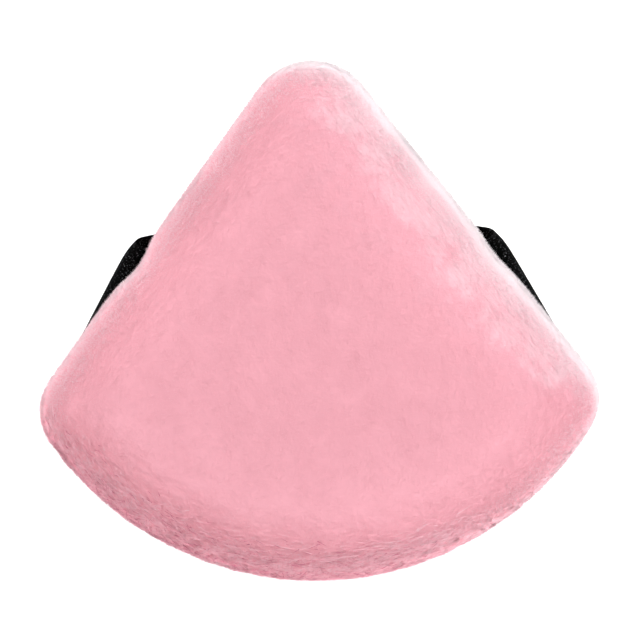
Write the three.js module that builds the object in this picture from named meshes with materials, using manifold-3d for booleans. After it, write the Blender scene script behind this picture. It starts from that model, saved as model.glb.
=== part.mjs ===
// A velour powder puff: a foam core sewn into two pink velour covers, with a black satin finger strap.
// Millimetres, +Z up. The puff lies on its strap with the crowned front up and the point towards +Y.
// The origin is on the flat underside of the strap, below the middle of the outline's width and length.

import * as THREE from 'three';
import { mergeVertices } from 'three/addons/utils/BufferGeometryUtils.js';
import Module from 'manifold-3d';

const wasm = await Module();
wasm.setup();

// Outline of the pad seen from the front: a bowed base, two rounded corners and a blunt point
const padWidth = 70;
const padLength = 65;
const cornerRise = 22;
const cornerRadius = 6.65;
const tipRadius = 8.15;

// Section of the pad, measured from the plane of the seam
const padThickness = 12.8;
const backCrown = 5;
const frontRimHeight = 3;
const backRimHeight = 1.9;
const backRimInset = 1.7;
const seamInset = 2.4;
const crownFullness = 2.4;
const crownRoundness = 2;

// Velour covers
const coverThickness = 1.2;
const allowanceThickness = 0.9;
const allowanceDepth = 3.5;
const seamGap = 0.3;

// Foam core
const foamClearance = 0.3;

// Satin finger strap
const strapWidth = 20;
const strapThickness = 0.4;
const strapRise = 2.5;
const strapTail = 3.3;
const strapBulge = 0.9;
const strapClearance = 0.3;
const fingerGap = 5.4;
const foldRadius = 1.8;
const heelRadius = 5;
const foldSlant = THREE.MathUtils.degToRad(61);
const strapSlope = THREE.MathUtils.degToRad(50);

// Sewing threads
const threadDiameter = 0.22;
const threadClearance = 0.14;
const stitchLength = 4;
const stitchInset = 3.9;
const legSpread = 0.38;
const loopDepth = 0.2;
const loopSpreadShare = 1 / 3;
const turningGap = 30;
const threadTail = 2;
const closingStitchLength = 3;
const tackInset = 5;
const tackStitchLength = 3;
const tackStitches = 4;
const tackPlaceShare = 1 / 3;

// How finely the curves are stepped
const baseSteps = 7;
const cornerSteps = 4;
const sideSteps = 4;
const tipSteps = 6;
const foldSteps = 8;
const heelSteps = 4;
const threadSides = 4;
const outerCrownShares = [0, 0.035, 0.1, 0.21, 0.37, 0.58, 0.8];
const innerCrownShares = [0, 0.045, 0.15, 0.33, 0.62];
const rollShares = [0, 0.5];

// Sizes that follow from the ones above
const frontCrown = padThickness - backCrown;
const seamHeight = strapThickness + fingerGap + backCrown;
const rawEdgeInset = seamInset + allowanceDepth;
const allowanceHeight = seamGap / 2 + allowanceThickness;
const threadHeight = allowanceHeight + threadClearance + threadDiameter / 2;
const foamLipHeight = threadHeight + threadDiameter / 2 + foamClearance;
const foamDepth = coverThickness + foamClearance;

const tipCentreY = padLength / 2 - tipRadius;
const cornerX = padWidth / 2 - cornerRadius;
const cornerY = cornerRise - padLength / 2;

// The base is an arc through its lowest point that runs smoothly into both corners
const baseRadius = (cornerX ** 2 + cornerRise ** 2 - cornerRadius ** 2) / (2 * (cornerRise - cornerRadius));
const baseCentreY = baseRadius - padLength / 2;
const baseHalfAngle = Math.atan2(cornerX, baseCentreY - cornerY);

// The right side is a straight tangent of the corner and the tip; sideAngle is its outward direction
const cornerToTip = new THREE.Vector2(-cornerX, tipCentreY - cornerY);
const sideAngle = cornerToTip.angle() - Math.acos((cornerRadius - tipRadius) / cornerToTip.length());
const sideNormal = new THREE.Vector2(Math.cos(sideAngle), Math.sin(sideAngle));
const sideReach = cornerX * sideNormal.x + cornerY * sideNormal.y + cornerRadius;

// The crown peaks at the point that lies as far from the base as from the two sides
const middleY = (sideReach - padLength / 2) / (1 + sideNormal.y);
const middleDistance = middleY + padLength / 2;

const frontFace = { crown: frontCrown, rimInset: 0, rimHeight: frontRimHeight };
const backFace = { crown: backCrown, rimInset: backRimInset, rimHeight: backRimHeight };

// The pad's outline drawn in by an inset, as curves that run counter-clockwise from the middle of the base
function outline(inset) {
  const down = -Math.PI / 2;
  const arc = (x, y, radius, from, to) =>
    new THREE.EllipseCurve(x, y, radius - inset, radius - inset, from, to);
  const rightBase = arc(0, baseCentreY, baseRadius, down, down + baseHalfAngle);
  const rightCorner = arc(cornerX, cornerY, cornerRadius, down + baseHalfAngle, sideAngle);
  const tip = arc(0, tipCentreY, tipRadius, sideAngle, Math.PI - sideAngle);
  const leftCorner = arc(-cornerX, cornerY, cornerRadius, Math.PI - sideAngle, 3 * Math.PI / 2 - baseHalfAngle);
  const leftBase = arc(0, baseCentreY, baseRadius, 3 * Math.PI / 2 - baseHalfAngle, 3 * Math.PI / 2);
  const rightSide = new THREE.LineCurve(rightCorner.getPoint(1), tip.getPoint(0));
  const leftSide = new THREE.LineCurve(tip.getPoint(1), leftCorner.getPoint(0));
  return [rightBase, rightCorner, rightSide, tip, leftSide, leftCorner, leftBase];
}

const outlineSteps = [baseSteps, cornerSteps, sideSteps, tipSteps, sideSteps, cornerSteps, baseSteps];

// One closed row of points: the inset outline or, with a reach under 1, a row nearer the middle of the pad,
// which turns from the outline's own shape into a circle on the way there
function ringOf({ inset, reach = 1, height }) {
  const middle = new THREE.Vector2(0, middleY);
  return outline(inset).flatMap((curve, i) =>
    Array.from({ length: outlineSteps[i] }, (_, step) => {
      const spoke = curve.getPoint(step / outlineSteps[i]).sub(middle);
      const round = spoke.clone().setLength(middleDistance - inset);
      const flat = spoke.lerp(round, 1 - reach).multiplyScalar(reach).add(middle);
      return new THREE.Vector3(flat.x, flat.y, height);
    })
  );
}

// A closed body through rows of points, from the pole of its upper end to the pole of its lower end
function loft(rings, topPole, bottomPole) {
  const count = rings[0].length;
  const points = [...rings.flat(), topPole, bottomPole];
  const top = points.length - 2;
  const bottom = points.length - 1;
  const triangles = [];
  for (let j = 0; j < count; j++) {
    const next = (j + 1) % count;
    triangles.push(top, j, next);
    for (let i = 0; i < rings.length - 1; i++) {
      const upper = i * count;
      const lower = upper + count;
      triangles.push(upper + j, lower + j, lower + next);
      triangles.push(upper + j, lower + next, upper + next);
    }
    const last = (rings.length - 1) * count;
    triangles.push(bottom, last + next, last + j);
  }
  const geometry = new THREE.BufferGeometry().setFromPoints(points);
  geometry.setIndex(triangles);
  return geometry;
}

// A cover's section or the foam's, as levels, becomes a body; a level at the middle of the pad is a pole
function padBody(levels, upperHeight, lowerHeight) {
  const pole = (height) => new THREE.Vector3(0, middleY, height);
  return loft(levels.map(ringOf), pole(upperHeight), pole(lowerHeight));
}

// Levels of a crowned face, from its rim to its middle, at a depth under the face's outer surface
function crownLevels(face, depth, shares) {
  const rim = face.rimInset + depth;
  return shares.map((share) => {
    const distance = rim + share * (middleDistance - rim);
    const inset = Math.min(distance, rawEdgeInset);
    const rise = (1 - (1 - share) ** crownFullness) ** (1 / crownRoundness);
    return {
      inset,
      reach: 1 - (distance - inset) / (middleDistance - rawEdgeInset),
      height: face.rimHeight + (face.crown - depth - face.rimHeight) * rise,
    };
  });
}

// Levels of the rounded edge by which a cover rolls out from the seam to its rim
function rollLevels(face) {
  return rollShares.map((share) => {
    const turn = share * Math.PI / 2;
    return {
      inset: seamInset - (seamInset - face.rimInset) * Math.sin(turn),
      height: face.rimHeight - (face.rimHeight - seamGap / 2) * Math.cos(turn),
    };
  });
}

function rootInset(face) {
  return Math.max(seamInset, face.rimInset + coverThickness);
}

// A cover from its outer middle over the rim, in along the seam allowance and back up to its inner middle
function coverLevels(face) {
  return [
    ...crownLevels(face, 0, outerCrownShares).reverse(),
    ...rollLevels(face).reverse(),
    { inset: rawEdgeInset, height: seamGap / 2 },
    { inset: rawEdgeInset, height: allowanceHeight },
    { inset: rootInset(face), height: allowanceHeight },
    ...crownLevels(face, coverThickness, innerCrownShares),
  ];
}

// One half of the foam, from its middle over the rim and in under its lip to the waist inside the raw edges
function foamLevels(face) {
  return [
    ...crownLevels(face, foamDepth, innerCrownShares).reverse(),
    { inset: rootInset(face) + foamClearance, height: foamLipHeight },
    { inset: rawEdgeInset + foamClearance, height: foamLipHeight },
  ];
}

// The same levels turned over, for what lies below the seam
function turnedOver(levels) {
  return levels.map((level) => ({ ...level, height: -level.height })).reverse();
}

// Solids for cutting, and back to a geometry
function solidOf(geometry) {
  const bare = geometry.clone();
  bare.deleteAttribute('normal');
  bare.deleteAttribute('uv');
  const merged = mergeVertices(bare);
  return new wasm.Manifold(new wasm.Mesh({
    numProp: 3,
    vertProperties: new Float32Array(merged.attributes.position.array),
    triVerts: new Uint32Array(merged.index.array),
  }));
}

function geometryOf(solid) {
  const { vertProperties, triVerts } = solid.getMesh();
  const geometry = new THREE.BufferGeometry();
  geometry.setAttribute('position', new THREE.BufferAttribute(vertProperties, 3));
  geometry.setIndex(new THREE.BufferAttribute(triVerts, 1));
  geometry.computeVertexNormals();
  return geometry;
}

function cut(geometry, ...cutters) {
  return geometryOf(cutters.reduce((solid, cutter) => solid.subtract(cutter), solidOf(geometry)));
}

// Finger strap: flat in the middle, it bends up at a heel along each side, runs up at a slope, turns back
// over a soft fold that stands out past the pad's side and ends between the two seam allowances.
const strapMiddleY = strapRise;
const foldNormal = new THREE.Vector2(Math.sin(foldSlant), Math.cos(foldSlant));
const foldAlong = new THREE.Vector2(-foldNormal.y, foldNormal.x);
const sideX = (sideReach - strapMiddleY * sideNormal.y) / sideNormal.x;
const foldReach = foldNormal.dot(new THREE.Vector2(sideX + strapBulge, strapMiddleY)) - strapThickness / 2;

// Stations of the strap's middle surface across the fold, from the heel outwards, each with its reach
// along foldNormal, its height over the seam plane, its heading and the ribbon's length along foldNormal
function strapStations() {
  const climb = seamHeight - strapThickness / 2;
  const heelClimb = heelRadius * (1 - Math.cos(strapSlope));
  const foldClimb = foldRadius * (1 + Math.cos(strapSlope));
  const run = (climb - heelClimb - foldClimb) / Math.sin(strapSlope);
  const heelReach = foldReach - heelRadius * Math.sin(strapSlope) - run * Math.cos(strapSlope)
    - foldRadius * (1 - Math.sin(strapSlope));
  const heelLength = heelRadius * strapSlope;
  const stations = [];
  for (let i = 0; i <= heelSteps; i++) {
    const heading = strapSlope * i / heelSteps;
    stations.push({
      reach: heelReach + heelRadius * Math.sin(heading),
      height: -climb + heelRadius * (1 - Math.cos(heading)),
      heading,
      length: heelReach + heelRadius * heading,
    });
  }
  for (let i = 0; i <= foldSteps; i++) {
    const heading = strapSlope + (Math.PI - strapSlope) * i / foldSteps;
    stations.push({
      reach: foldReach - foldRadius * (1 - Math.sin(heading)),
      height: -foldRadius * (1 + Math.cos(heading)),
      heading,
      length: heelReach + heelLength + run + foldRadius * (Math.min(heading, Math.PI / 2) - strapSlope),
    });
  }
  return stations;
}

// The ribbon's edge crosses the pad straight, so where the ribbon bends it slips along the fold
function strapPoint(station, edgeY, reach) {
  const slip = (edgeY - foldNormal.y * station.length) / foldNormal.x;
  const flat = foldNormal.clone().multiplyScalar(reach).addScaledVector(foldAlong, slip);
  return new THREE.Vector3(flat.x, flat.y, station.height);
}

// A section across the ribbon: lower and upper edge on the outside, then upper and lower on the inside
function strapSection(station, edges, thickness, reaches) {
  const inward = new THREE.Vector2(-Math.sin(station.heading), Math.cos(station.heading));
  const place = (k, side) => {
    const point = strapPoint(station, edges[k], reaches[k] + side * inward.x * thickness / 2);
    point.z += side * inward.y * thickness / 2;
    return point;
  };
  return [place(0, -1), place(1, -1), place(1, 1), place(0, 1)];
}

function sweep(sections) {
  const count = sections[0].length;
  const points = sections.flat();
  const triangles = [];
  for (let i = 0; i < sections.length - 1; i++) {
    for (let j = 0; j < count; j++) {
      const next = (j + 1) % count;
      const near = i * count;
      const far = near + count;
      triangles.push(near + j, near + next, far + next, near + j, far + next, far + j);
    }
  }
  const last = (sections.length - 1) * count;
  for (let j = 1; j < count - 1; j++) {
    triangles.push(0, j + 1, j);
    triangles.push(last, last + j, last + j + 1);
  }
  const geometry = new THREE.BufferGeometry().setFromPoints(points);
  geometry.setIndex(triangles);
  return geometry;
}

// The strap, or with a clearance the room that it takes up between the covers
function strapBody(clearance) {
  const thickness = strapThickness + 2 * clearance;
  const edges = [-1, 1].map((side) => strapMiddleY + side * (strapWidth / 2 + clearance));
  const stations = strapStations();
  const sections = stations.map((station) =>
    strapSection(station, edges, thickness, edges.map(() => station.reach))
  );
  const last = stations[stations.length - 1];
  const ends = edges.map((edgeY) => {
    const turn = strapPoint(last, edgeY, last.reach);
    const depth = sideNormal.x * turn.x + sideNormal.y * turn.y - sideReach + seamInset + strapTail + clearance;
    return last.reach - depth / sideNormal.dot(foldNormal);
  });
  sections.push(strapSection(last, edges, thickness, ends));
  const middle = sections[0].map((point, k) => new THREE.Vector3(0, edges[k === 1 || k === 2 ? 1 : 0], point.z));
  const mirrored = sections.map((section) => section.map(({ x, y, z }) => new THREE.Vector3(-x, y, z)));
  return sweep([...mirrored.reverse(), middle, ...sections]);
}

// Stitch lines. A stitch line is an inset outline; a place on it has the directions along and across it
function stitchLine(inset) {
  const line = new THREE.CurvePath();
  outline(inset).forEach((curve) => line.add(curve));
  return line;
}

function placeOn(line, distance) {
  const share = distance / line.getLength();
  const along = line.getTangent(share);
  return { point: line.getPoint(share), along, across: new THREE.Vector2(along.y, -along.x) };
}

function threadPoint(place, alongOffset, acrossOffset, height) {
  const flat = place.point.clone()
    .addScaledVector(place.along, alongOffset)
    .addScaledVector(place.across, acrossOffset);
  return new THREE.Vector3(flat.x, flat.y, height);
}

// A line through given points, stepped from point to point
class PointLine extends THREE.Curve {
  constructor(points) {
    super();
    this.points = points;
  }

  getPoint(t, target = new THREE.Vector3()) {
    const at = THREE.MathUtils.clamp(t, 0, 1) * (this.points.length - 1);
    const i = Math.min(Math.floor(at), this.points.length - 2);
    return target.lerpVectors(this.points[i], this.points[i + 1], at - i);
  }

  getPointAt(u, target) {
    return this.getPoint(u, target);
  }

  getTangentAt(u, target) {
    return this.getTangent(u, target);
  }
}

function threadBody(points) {
  const section = new THREE.Shape(Array.from({ length: threadSides }, (_, i) => {
    const turn = 2 * Math.PI * i / threadSides;
    return new THREE.Vector2(Math.cos(turn), Math.sin(turn)).multiplyScalar(threadDiameter / 2);
  }));
  const extruded = new THREE.ExtrudeGeometry(section, {
    steps: points.length - 1,
    extrudePath: new PointLine(points),
  });
  return geometryOf(solidOf(extruded));
}

// Needle holes through both allowances and whatever lies between them
function needleHoles(places, width) {
  const height = 2 * (allowanceHeight + threadClearance);
  return places.map((place) => {
    const box = new THREE.BoxGeometry(width, width, height);
    box.rotateZ(place.along.angle());
    box.translate(place.point.x, place.point.y, 0);
    return solidOf(box);
  }).reduce((all, hole) => all.add(hole));
}

// Lockstitch seam from one end of the turning gap round to the other
const seamLine = stitchLine(stitchInset);
const seamLength = seamLine.getLength() - turningGap;
const seamStitches = Math.round(seamLength / stitchLength);
const seamPlaces = Array.from({ length: seamStitches + 1 }, (_, i) =>
  placeOn(seamLine, turningGap / 2 + seamLength * i / seamStitches)
);

// Each thread dips through every hole in a loop that catches the other's: the needle thread goes straight
// down and up again, and the bobbin thread crosses through its loop from one side to the other.
function seamThread(side, spread) {
  const loopSpread = spread * loopSpreadShare;
  const points = seamPlaces.flatMap((place) => [
    threadPoint(place, -legSpread, spread, side * threadHeight),
    threadPoint(place, -legSpread, spread, 0),
    threadPoint(place, -threadDiameter / 2, loopSpread, -side * loopDepth),
    threadPoint(place, threadDiameter / 2, -loopSpread, -side * loopDepth),
    threadPoint(place, legSpread, -spread, 0),
    threadPoint(place, legSpread, -spread, side * threadHeight),
  ]);
  const first = seamPlaces[0];
  const last = seamPlaces[seamStitches];
  points.unshift(threadPoint(first, -threadTail, spread, side * threadHeight));
  points.push(threadPoint(last, threadTail, -spread, side * threadHeight));
  return threadBody(points);
}

// A hand stitch: one thread that passes down at one hole and up at the next
function runningPlaces(line, middle, stitches, length) {
  return Array.from({ length: stitches + 1 }, (_, i) =>
    placeOn(line, THREE.MathUtils.euclideanModulo(middle + (i - stitches / 2) * length, line.getLength()))
  );
}

function runningThread(places) {
  const points = places.flatMap((place, i) => {
    const side = i % 2 ? -1 : 1;
    return [
      threadPoint(place, -threadDiameter / 2, 0, side * threadHeight),
      threadPoint(place, threadDiameter / 2, 0, -side * threadHeight),
    ];
  });
  const lastSide = places.length % 2 ? -1 : 1;
  points.unshift(threadPoint(places[0], -threadTail, 0, threadHeight));
  points.push(threadPoint(places[places.length - 1], threadTail, 0, lastSide * threadHeight));
  return threadBody(points);
}

const closingStitches = Math.floor((turningGap - 2 * threadTail) / closingStitchLength) - 1;
const closingPlaces = runningPlaces(seamLine, 0, closingStitches, closingStitchLength);

const tackLine = stitchLine(tackInset);
const [baseLength, cornerLength, sideLength] = outline(tackInset).map((curve) => curve.getLength());
const tackMiddle = baseLength + cornerLength + sideLength * tackPlaceShare;
const rightTackPlaces = runningPlaces(tackLine, tackMiddle, tackStitches, tackStitchLength);
const leftTackPlaces = runningPlaces(tackLine, tackLine.getLength() - tackMiddle, tackStitches, tackStitchLength);

const seamHoles = needleHoles(seamPlaces, 2 * (legSpread + threadClearance) + threadDiameter);
const handHoles = needleHoles(
  [...closingPlaces, ...rightTackPlaces, ...leftTackPlaces],
  2 * (threadDiameter + threadClearance)
);

// Materials
const velour = new THREE.MeshStandardMaterial({ color: 0xf3abb8, roughness: 1, metalness: 0 });
const backVelour = new THREE.MeshStandardMaterial({ color: 0xeea3b2, roughness: 1, metalness: 0 });
const foam = new THREE.MeshStandardMaterial({ color: 0xf6eee6, roughness: 0.95, metalness: 0 });
const satin = new THREE.MeshStandardMaterial({ color: 0x0c0b0d, roughness: 0.4, metalness: 0 });
const pinkThread = new THREE.MeshStandardMaterial({ color: 0xe893a6, roughness: 0.7, metalness: 0 });

// Assembly, in the frame of the seam plane
const puff = new THREE.Group();
puff.position.z = seamHeight;

function addPiece(name, geometry, material) {
  const piece = new THREE.Mesh(geometry, material);
  piece.name = name;
  puff.add(piece);
}

const strapRoom = solidOf(strapBody(strapClearance));
const frontCover = padBody(coverLevels(frontFace), frontCrown, frontCrown - coverThickness);
const backCover = padBody(turnedOver(coverLevels(backFace)), coverThickness - backCrown, -backCrown);
const foamCore = padBody(
  [...foamLevels(frontFace), ...turnedOver(foamLevels(backFace))],
  frontCrown - foamDepth,
  foamDepth - backCrown
);

addPiece('front_cover', cut(frontCover, strapRoom, seamHoles, handHoles), velour);
addPiece('back_cover', cut(backCover, strapRoom, seamHoles, handHoles), backVelour);
addPiece('foam_core', foamCore, foam);
addPiece('finger_strap', cut(strapBody(0), seamHoles, handHoles), satin);
addPiece('seam_needle_thread', seamThread(1, 0), pinkThread);
addPiece('seam_bobbin_thread', seamThread(-1, legSpread), pinkThread);
addPiece('closing_stitches', runningThread(closingPlaces), pinkThread);
addPiece('strap_tack_right', runningThread(rightTackPlaces), pinkThread);
addPiece('strap_tack_left', runningThread(leftTackPlaces), pinkThread);

export default puff;
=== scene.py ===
import math

import bpy
import numpy as np
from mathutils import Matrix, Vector, kdtree


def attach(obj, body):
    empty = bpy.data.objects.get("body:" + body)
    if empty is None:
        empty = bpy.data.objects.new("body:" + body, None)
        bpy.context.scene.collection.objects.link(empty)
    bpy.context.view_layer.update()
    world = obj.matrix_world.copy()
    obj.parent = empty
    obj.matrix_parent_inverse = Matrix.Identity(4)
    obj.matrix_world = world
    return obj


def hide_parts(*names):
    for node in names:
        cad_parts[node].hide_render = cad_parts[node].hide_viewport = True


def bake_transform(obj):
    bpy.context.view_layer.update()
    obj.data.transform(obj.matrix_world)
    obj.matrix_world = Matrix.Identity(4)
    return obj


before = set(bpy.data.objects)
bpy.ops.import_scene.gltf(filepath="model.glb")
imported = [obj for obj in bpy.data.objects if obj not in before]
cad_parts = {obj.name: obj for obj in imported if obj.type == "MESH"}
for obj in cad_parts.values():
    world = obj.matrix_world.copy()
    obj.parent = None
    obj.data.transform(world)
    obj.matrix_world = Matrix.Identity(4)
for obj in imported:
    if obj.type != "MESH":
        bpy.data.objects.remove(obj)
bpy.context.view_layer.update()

# A velour powder puff: two pink velour covers over a foam core, with a black satin finger strap.
# The script works in millimetres, as the pad is sewn, and writes metres into the meshes.
MM = 0.001

# Outline of the pad seen from the front
PAD_WIDTH = 70
PAD_LENGTH = 65
CORNER_RISE = 22
CORNER_RADIUS = 6.65
TIP_RADIUS = 8.15

# Section of the pad, measured from the plane of the seam
SEAM_HEIGHT = 10.8
FRONT = dict(side=1, crown=7.8, rim_inset=0, rim_height=3)
BACK = dict(side=-1, crown=5, rim_inset=1.7, rim_height=1.9)
SEAM_INSET = 2.4
SEAM_GAP = 0.3
CROWN_FULLNESS = 2.4

# Where the slopes from two sides of the outline meet, the crest is rounded off between these depths
CREST_DEPTHS = (3, 13)
CREST_POWER = 4.0
CREST_LEAST = 0.1
CORNER_REACH = 3

# Velour: dense pile on a knitted ground, with loose fibre tips that stand out past the body of the pile
NAP_DEPTH = 0.3
VELOUR_THICKNESS = 0.9

# Each cover is one sheet of velour, crowned over the foam, rolled in at the rim and turned in at the seam
ALLOWANCE_DEPTH = 3.5
ROLL_DEPTH = 0.6
RIBBON_ROOM = 0.2
OPENING_MARGIN = 0.2
OPENING_FADE = 1.2
RIM_POINTS = 224
CROWN_ROW_SHARES = (0, 0.024, 0.07, 0.14, 0.24, 0.38, 0.56, 0.78, 1)
ROLL_STEPS = 5
ALLOWANCE_ROW_SHARES = (0.35, 0.7, 1)
INNERMOST_INSET = 6.1

# The strap's upper edge pulls the side seams in a little, less on the right
PINCH_DEPTH = 0.85
RIGHT_PINCH_SHARE = 0.5
PINCH_Y = 7.7
PINCH_SPREAD = 2.5
PINCH_DEPTHS = (-1, 5)

# Cloth simulation that swells a cover, and the smoothing after it
SWELL_SCALE = 10
SWELL_PRESSURE = 4
SWELL_STEPS = 20
SWELL_QUALITY = 5
SWELL_CAP = 0.25
SEWN_SHARE = 0.8
SWELL_SHARES = (0.3, 0.9)
SPREAD_ROUNDS = 60
EVEN_OUT_ROUNDS = 60
EVEN_OUT_FACTOR = 0.5
EVEN_OUT_DEPTHS = (0.5, 3.5)
EVEN_OUT_LEVEL = 1.5

# Foam core
FOAM_CLEARANCE = 0.3
FOAM_POINTS = 112
FOAM_LIP = 0.9
FOAM_LIP_STEPS = 4

# The nap leans towards the lower left, where one looks down into the open pile. Its way also sets painted
# light and shade in the colours: a painted pale sheen where a piece faces the upper right, towards the key
# light, and painted shade where it faces the lower left
LIGHT_AND_NAP_AZIMUTH = math.radians(58)
LIGHT_AND_NAP_WAY = np.array([math.cos(LIGHT_AND_NAP_AZIMUTH), math.sin(LIGHT_AND_NAP_AZIMUTH), 0])
PAINTED_LIGHT_SPAN = 1.5
OPEN_PILE_NAPS = (0.1, 0.45)

# A cover's own map, along the rim and up from the seam, in which the pile clumps and parts in rows
RIM_MAP_INSET = 3
RIM_MAP_POINTS = 1024

# Widths that a map spans: the cloth's and ribbon's own maps, and past the pad the fibres' flat map
UV_SPAN = 100
BAKE_MARGIN = 4

# Seeds of the fibres' random draws: a layer's or the strands' own is added to the cover's
FRONT_SEED = 10
BACK_SEED = 20
FACE_LAYER_SEED = 1
RIM_LAYER_SEED = 3
STRAND_SEED = 5

# Fibres of the pile, so many for a half of each cover. They lie smooth on the faces, and stand where the pile
# is open or the cover steep
FIBRES = 49000
TRIES_PER_FIBRE = 2
FIBRE_HEIGHT = 0.5
FIBRE_HEIGHT_SPREAD = 0.2
FIBRE_RISES = (0.1, 0.75)
FIBRE_WIDTH = 0.09
FIBRE_WIDTH_SHARES = (0.7, 1.3)
FIBRE_SINK = 0.05
FIBRE_TONE = 0.03
FIBRE_ROUNDNESS = 0.35
SMOOTHED_SHARE = 0.4
STANDING_SLOPES = (0.1, 0.4)
STRAY_LEAN = 0.07
NAP_LEAN = 0.025
NAP_WAVES = (7, 16)
NAP_SEED = 40
CLUMP_LEAN = 0.1
CLUMP_SHADE = 0.06
CLUMP_STRETCH = 2.2
CLUMP_WAVES = (0.5, 1.1)
CLUMP_SEED = 70
PARTING_WIDTH = 0.55
PARTING_RISES = (6, 9)
PARTING_SEED = 91
TUFT_HEIGHT = 0.12
TUFT_WAVES = (0.6, 1.3)
TUFT_SEED = 79

# How thick on the ground the fibres stand, by their distance from the rim and from the seam's plane
MIDDLE_SHARE = 0.15
FACE_DEPTHS = (2, 10)
RIM_DEPTHS = (0.8, 4)
SEAM_DISTANCES = (0.3, 1)

# Strands of fibres that lie ruffled along the base
STRANDS = 6500
STRAND_LENGTH = 1.5
STRAND_LENGTH_SHARES = (0.4, 1)
STRAND_STRAY = 0.3
STRAND_LIFT = 0.22
STRAND_WIDTH = 0.13
STRAND_TONE = 0.25
STRAND_WAY = (math.cos(math.radians(75)), math.sin(math.radians(75)))
STRAND_PLACES = (17, 27)
STRAND_DEPTHS = (0, 6)

# Satin ribbon of the finger strap: flat under the pad, it bends up at a heel, rises at a slope and turns back
# at a fold into the seam
RIBBON_WIDTH = 20
RIBBON_THICKNESS = 0.4
RIBBON_MIDDLE_Y = 2.5
RIBBON_TAIL = 3.3
RIBBON_BULGE = 0.9
HEEL_RADIUS = 5
FOLD_RADIUS = 1.8
FOLD_SLANT = math.radians(61)
RIBBON_SLOPE = math.radians(50)
TOP_EDGE_SLACK = 0.5
LOW_EDGE_SLACK = 0.3
SLACK_POWER = 10
SLACK_LEAD = 1
RIBBON_WAVE = 0.06
RIBBON_WAVES = (8, 20)
RIBBON_SEED = 61
RIBBON_ROWS = 41
RIBBON_COLUMNS = 201

# Velour's look: gloss of its fibres, and noise in features a metre for patches and single strokes, and in
# features a millimetre, along and up, for the rows near the rim
SHEEN = 0.3
SHEEN_ROUGHNESS = 0.4
PATCH_SCALE = 260
STROKE_SCALE = 1500
ROW_SCALES = (0.45, 1.7)
ROW_RISES = (3, 10)
ROW_SHARE = 0.8
STROKE_SHARE = 0.5
MOTTLE_RANGE = (0.4, 1.1)
MOTTLE = 0.16

# Satin's look: grain in features a millimetre, along and across, and where its painted glints (pale specks in
# its colour) and its gloss begin and end
GRAIN_SCALES = (4, 7)
PAINTED_GLINT_RANGE = (0.62, 0.74)
GLOSS_RANGE = (0.35, 0.7)
GLOSS_ROUGHNESSES = (0.7, 0.5)
SATIN_SPECULAR = 0.015

# Studio: softboxes by azimuth, elevation and watts
SOFTBOX_SIZE = 0.35
SOFTBOX_DISTANCE = 0.8
SOFTBOXES = {
    "high_key": (65, 72, 2.45),
    "right_key": (45, 12, 5.7),
    "point_fill": (95, 12, 2.9),
    "left_fill": (150, 12, 4.4),
    "near_left_fill": (225, 12, 4),
    "near_right_fill": (315, 12, 6.7),
}
FLOOR_SIZE = 2
FLOOR_GLOW = 0.8
WORLD_GLOW = 0.05

# The photograph's view, straight down on the front
PICTURE_WIDTH = 640
PIXELS_PER_MM = 8.0143
VIEW_CENTRE = (0.3375, 0.0158)
VIEW_TURN = math.radians(-1.564)
LENS = 250
SENSOR_WIDTH = 36
FARTHEST_SEEN = 10

CORNER_X = PAD_WIDTH / 2 - CORNER_RADIUS
CORNER_Y = CORNER_RISE - PAD_LENGTH / 2
TIP_Y = PAD_LENGTH / 2 - TIP_RADIUS
BASE_RADIUS = (CORNER_X ** 2 + CORNER_RISE ** 2 - CORNER_RADIUS ** 2) / (2 * (CORNER_RISE - CORNER_RADIUS))
BASE_Y = BASE_RADIUS - PAD_LENGTH / 2
BASE_ANGLE = math.atan2(CORNER_X, BASE_Y - CORNER_Y)
SIDE_ANGLE = math.atan2(TIP_Y - CORNER_Y, -CORNER_X) - math.acos(
    (CORNER_RADIUS - TIP_RADIUS) / math.hypot(CORNER_X, TIP_Y - CORNER_Y))
SIDE_NORMAL = np.array([math.cos(SIDE_ANGLE), math.sin(SIDE_ANGLE)])
SIDE_REACH = CORNER_X * SIDE_NORMAL[0] + CORNER_Y * SIDE_NORMAL[1] + CORNER_RADIUS
MIDDLE_Y = (SIDE_REACH - PAD_LENGTH / 2) / (1 + SIDE_NORMAL[1])
MIDDLE_DISTANCE = MIDDLE_Y + PAD_LENGTH / 2

# Path of the ribbon across its fold, measured along the ribbon's surface from the middle of the pad
FOLD_NORMAL = np.array([math.sin(FOLD_SLANT), math.cos(FOLD_SLANT)])
FOLD_ALONG = np.array([-FOLD_NORMAL[1], FOLD_NORMAL[0]])
SIDE_X = (SIDE_REACH - RIBBON_MIDDLE_Y * SIDE_NORMAL[1]) / SIDE_NORMAL[0]
FOLD_REACH = FOLD_NORMAL @ (SIDE_X + RIBBON_BULGE, RIBBON_MIDDLE_Y) - RIBBON_THICKNESS / 2
RIBBON_CLIMB = SEAM_HEIGHT - RIBBON_THICKNESS / 2
HEEL_CLIMB = HEEL_RADIUS * (1 - math.cos(RIBBON_SLOPE))
FOLD_CLIMB = FOLD_RADIUS * (1 + math.cos(RIBBON_SLOPE))
RIBBON_RUN = (RIBBON_CLIMB - HEEL_CLIMB - FOLD_CLIMB) / math.sin(RIBBON_SLOPE)
HEEL_START = (FOLD_REACH - HEEL_RADIUS * math.sin(RIBBON_SLOPE) - RIBBON_RUN * math.cos(RIBBON_SLOPE)
              - FOLD_RADIUS * (1 - math.sin(RIBBON_SLOPE)))
HEEL_END = HEEL_START + HEEL_RADIUS * RIBBON_SLOPE
FOLD_START = HEEL_END + RIBBON_RUN
FOLD_TURN = FOLD_START + FOLD_RADIUS * (math.pi / 2 - RIBBON_SLOPE)
FOLD_END = FOLD_START + FOLD_RADIUS * (math.pi - RIBBON_SLOPE)


# Places on the pad and on the ribbon
def smoothstep(low, high, x):
    t = np.clip((x - low) / (high - low), 0, 1)
    return t * t * (3 - 2 * t)


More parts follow.
